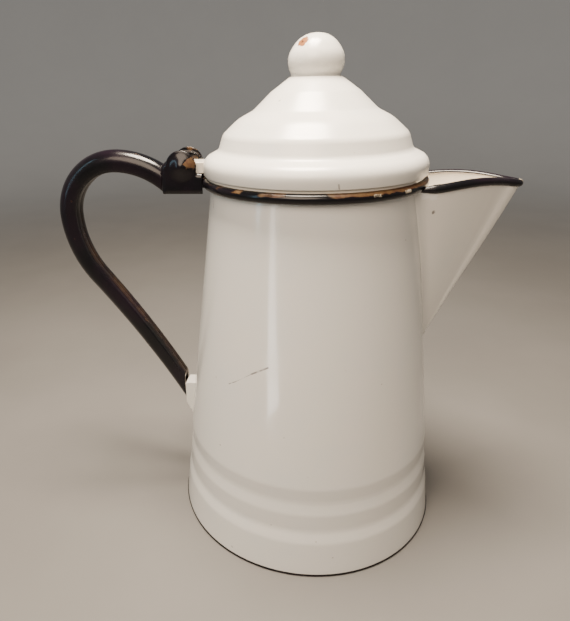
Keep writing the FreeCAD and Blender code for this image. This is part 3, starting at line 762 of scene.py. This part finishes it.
def make_lip():
    """Rolled black edge of the spout. Its inner side stays behind the sheet below the crest."""
    root = BEAD_CIRCLE - 0.6
    route = [spot for spot in lip_curve() if math.hypot(spot.x, spot.y) > root]

    def roll_section(share):
        growth = min(min(share, 1 - share) / 0.06, 1.0)
        size = LIP_TUBE * (1 + 0.05 * math.sin(9 * share)) * (0.55 + 0.45 * growth)
        section = []
        for step in range(24):
            angle = step * math.pi / 12
            inwards, upwards = size * math.cos(angle), size * math.sin(angle)
            section.append((min(inwards, 1.0) if upwards < 0.5 else inwards, upwards))
        return section

    vertices, faces = sweep_mesh(tube_rings(route, roll_section))
    piece = add_piece("spout_lip", vertices, faces, "pot", ("spout_bead",),
                      LIP_BLACK)
    weld(piece)


# ---------------------------------------------------------------- the handle
HANDLE_START = Vector((-67.2, 172.4))
HANDLE_HEADING = math.radians(137.7)
# Each arc: radius, turn in degrees, steps.
HANDLE_ARCS = ((40.8, 39.6, 18), (26.5, 93.0, 36), (52.0, 38.0, 22), (-500.0, -10.5, 44))
HANDLE_STEEL = 1.1
HANDLE_END = -66.6
BRACKET_LEVELS = (150, 200)
LUG_LEVELS = (20, 100)


def handle_route():
    """Points and headings along the handle's centre line, in the plane of the pot."""
    spot = HANDLE_START.copy()
    heading = HANDLE_HEADING
    route = [(spot.copy(), heading)]
    for radius, degrees, steps in HANDLE_ARCS:
        hub = spot + Vector((-math.sin(heading), math.cos(heading))) * radius
        for step in range(1, steps + 1):
            angle = heading + math.radians(degrees) * step / steps
            place = hub + Vector((math.sin(angle), -math.cos(angle))) * radius
            route.append((place, angle))
        heading += math.radians(degrees)
        spot = route[-1][0].copy()
    return route


def handle_section(share):
    """Horseshoe section with a seam on its inner face: (outward, sideways) pairs."""
    deep = 5.15 - 0.95 * max(share - 0.45, 0) / 0.55
    wide = 5.4 - 0.85 * max(share - 0.35, 0) / 0.65
    seam = 0.45 + 0.5 * max(share - 0.93, 0) / 0.07
    outline = [(-deep, seam), (-deep, wide * 0.42)]
    corner = 1.7
    hub = Vector((-deep + corner, wide * 0.92 - corner))
    for step in range(1, 7):
        angle = math.radians(180 - 15 * step)
        outline.append((hub.x + corner * math.cos(angle), hub.y + corner * math.sin(angle)))
    waist = -0.1 * deep
    for step in range(13):
        angle = math.radians(90 - 7.5 * step)
        outline.append((waist + (deep - waist) * math.cos(angle), wide * math.sin(angle)))
    mirror = [(first, -second) for first, second in reversed(outline[:-1])]
    path = [Vector(spot) for spot in outline + mirror]
    return hemmed(path, HANDLE_STEEL)


def make_handle():
    """Bent tube with its open seam on the inside of the bend."""
    route = handle_route()
    rings = []
    worn = []
    for index, (spot, heading) in enumerate(route):
        out = Vector((math.sin(heading), -math.cos(heading)))
        share = index / (len(route) - 1)
        ring = []
        for outward, sideways in handle_section(share):
            flat = spot + out * outward
            ring.append(Vector((flat.x, sideways, flat.y)))
        rings.append(ring)
        crown = (len(ring) - 6) // 2 - 4
        worn += [0.0 if 2 <= corner < crown + 2 else 1.0 for corner in range(len(ring))]
    vertices, faces = sweep_mesh(rings)
    piece = add_piece("handle_loop", vertices, faces, "pot", ("handle_tube",),
                      HANDLE_BLACK, worn)
    piece.data.materials.append(STEEL_BARE)
    weld(piece)
    cut_flat(piece, (BRACKET_LOW[0] / MM - 0.02, 0, 0), (1, 0, 0), BRACKET_LEVELS)
    cut_flat(piece, (HANDLE_END, 0, 0), (1, 0, 0), LUG_LEVELS, 1)


def make_hinge():
    """Hood with its pin heads under one black coat, the lid's leaf, and the lower lug."""
    hood = [frame["nodes"]["hinge_bracket"].data, swelling(1), swelling(-1)]
    softened("hinge_hood", ("hinge_bracket", "hinge_pin"), "pot", HINGE_BLACK,
             0.25, 14, hood)
    softened("hinge_leaf", ("lid_tab",), "lid", LEAF_CREAM, 0.18, 5)
    softened("handle_foot", ("handle_lug",), "pot", POT_WHITE, 0.25, 10)


# ---------------------------------------------------------------- the room
# Metres, and yaw, pitch and roll in degrees. Fitted so that foot and rim match the photo.
CAMERA_PLACE = (0, -0.25069, 0.21426)
CAMERA_ANGLES = (-8.10, 23.02, -1.517)


def make_floor():
    """Pale floor that rises in one curve into a round wall, brightened far from the pot by painted
    light.
    """
    reach = 1550
    profile = smooth_path([(0, 0), (reach, 0, 550.0), (reach, 1250)], 24)
    profile.insert(1, Vector((400, 0)))
    segments = 96
    vertices = []
    faces = []
    for segment in range(segments):
        angle = 2 * math.pi * segment / segments
        aside = Vector((math.cos(angle), math.sin(angle), 0))
        vertices += [aside * spot.x + Vector((0, 0, spot.y)) for spot in profile]
    rows = len(profile)
    for segment in range(segments):
        first = segment * rows
        second = (segment + 1) % segments * rows
        faces += [[first + row, second + row, second + row + 1, first + row + 1]
                  for row in range(rows - 1)]
    shader = Shader("floor_pale_painted_glow")
    tone = shader.ramp(shader.noise(9.0, 4.0), 0.3, 0.7)
    colour = shader.mix(tone, *FLOOR_TONES)
    mesh = bpy.data.meshes.new("floor")
    mesh.from_pydata([spot * MM for spot in vertices], [], faces)
    mesh.polygons.foreach_set("use_smooth", [True] * len(mesh.polygons))
    # Painted light: emission that grows from none within 0.35 m of the middle to 0.17 at 1.5 m,
    # standing in for light falling on the far floor and wall.
    away = shader.node("ShaderNodeVectorMath", operation="LENGTH")
    shader.feed(away.inputs[0], shader.place)
    painted_far_glow = shader.ramp(away.outputs["Value"], 0.35, 1.5, 0.0, 0.17)
    mesh.materials.append(shader.finish(colour, 0.75, shader.noise(300.0, 2.0), 0.08,
                                        Emission_Color=(1.0, 0.96, 0.91, 1),
                                        Emission_Strength=painted_far_glow))
    floor = bpy.data.objects.new("floor", mesh)
    bpy.context.scene.collection.objects.link(floor)
    weld(floor)


def add_light(name, place, aim, size, power, colour, only_gloss=False):
    """Soft area light: place, aim and size in metres, power in watts."""
    lamp = bpy.data.lights.new(name, "AREA")
    lamp.shape = "ELLIPSE" if size[0] == size[1] else "RECTANGLE"
    lamp.size, lamp.size_y = size
    lamp.energy = power
    lamp.color = colour
    holder = bpy.data.objects.new(name, lamp)
    bpy.context.scene.collection.objects.link(holder)
    holder.location = place
    holder.rotation_euler = (Vector(aim) - Vector(place)).to_track_quat("-Z", "Y").to_euler()
    holder.visible_camera = False
    holder.visible_diffuse = not only_gloss
    return holder


def add_gleam():
    """Narrow bright strip, seen only as the upright line of light down the wall."""
    low = Vector((-0.108, -0.219, 0.014))
    high = Vector((-0.343, -0.422, 0.184))
    middle = (low + high) / 2
    along = (high - low).normalized()
    back = middle - Vector((-0.014, -0.05, 0.13))
    back = (back - along * back.dot(along)).normalized()
    gleam = add_light("gleam", middle, (0, 0, 0.13), (0.042, (high - low).length), 0.40,
                      (1.0, 0.99, 0.96), True)
    axes = Matrix((along.cross(back), along, back)).transposed()
    gleam.matrix_world = Matrix.Translation(middle) @ axes.to_4x4()
    walls = bpy.data.collections.new("gleam_walls")
    walls.objects.link(frame["nodes"]["body_shell"])
    gleam.light_linking.receiver_collection = walls


def make_lights():
    """Warm light from above and in front, a cool window on the left and a cool dim room."""
    add_light("overhead", (-0.04, -0.02, 0.60), (0, 0, 0.18), (0.22, 0.22), 11.5,
              (1.0, 0.86, 0.70))
    add_light("front", (-0.12, -0.48, 0.52), (0, 0, 0.14), (0.42, 0.42), 3.4,
              (1.0, 0.80, 0.62))
    add_light("left_window", (-0.9, -0.6, 0.5), (0, 0, 0.12), (0.09, 0.8), 1.2,
              (0.45, 0.80, 1.0))
    add_gleam()
    world = bpy.data.worlds.new("room")
    bpy.context.scene.world = world
    world.use_nodes = True
    back = world.node_tree.nodes["Background"]
    back.inputs[0].default_value = (0.45, 0.64, 0.74, 1)
    back.inputs[1].default_value = 0.10


def make_camera():
    """Camera level with the knob and a quarter of a metre in front, looking down at the pot."""
    camera = bpy.data.cameras.new("camera")
    camera.sensor_width = 36.0
    camera.lens = 30.59
    camera.shift_x = 0.0725
    camera.clip_start = 0.01
    holder = bpy.data.objects.new("camera", camera)
    bpy.context.scene.collection.objects.link(holder)
    yaw, pitch, roll = (math.radians(angle) for angle in CAMERA_ANGLES)
    ahead = Vector((math.sin(yaw) * math.cos(pitch), math.cos(yaw) * math.cos(pitch),
                    -math.sin(pitch)))
    right = Vector((math.cos(yaw), -math.sin(yaw), 0))
    up = right.cross(ahead)
    across = math.cos(roll) * right + math.sin(roll) * up
    above = -math.sin(roll) * right + math.cos(roll) * up
    axes = Matrix((across, above, -ahead)).transposed().to_4x4()
    holder.matrix_world = Matrix.Translation(CAMERA_PLACE) @ axes
    bpy.context.scene.camera = holder


paint_nodes()
make_rim()
make_lid()
make_knob()
make_spout()
make_lip()
make_handle()
make_hinge()
make_floor()
make_lights()
make_camera()
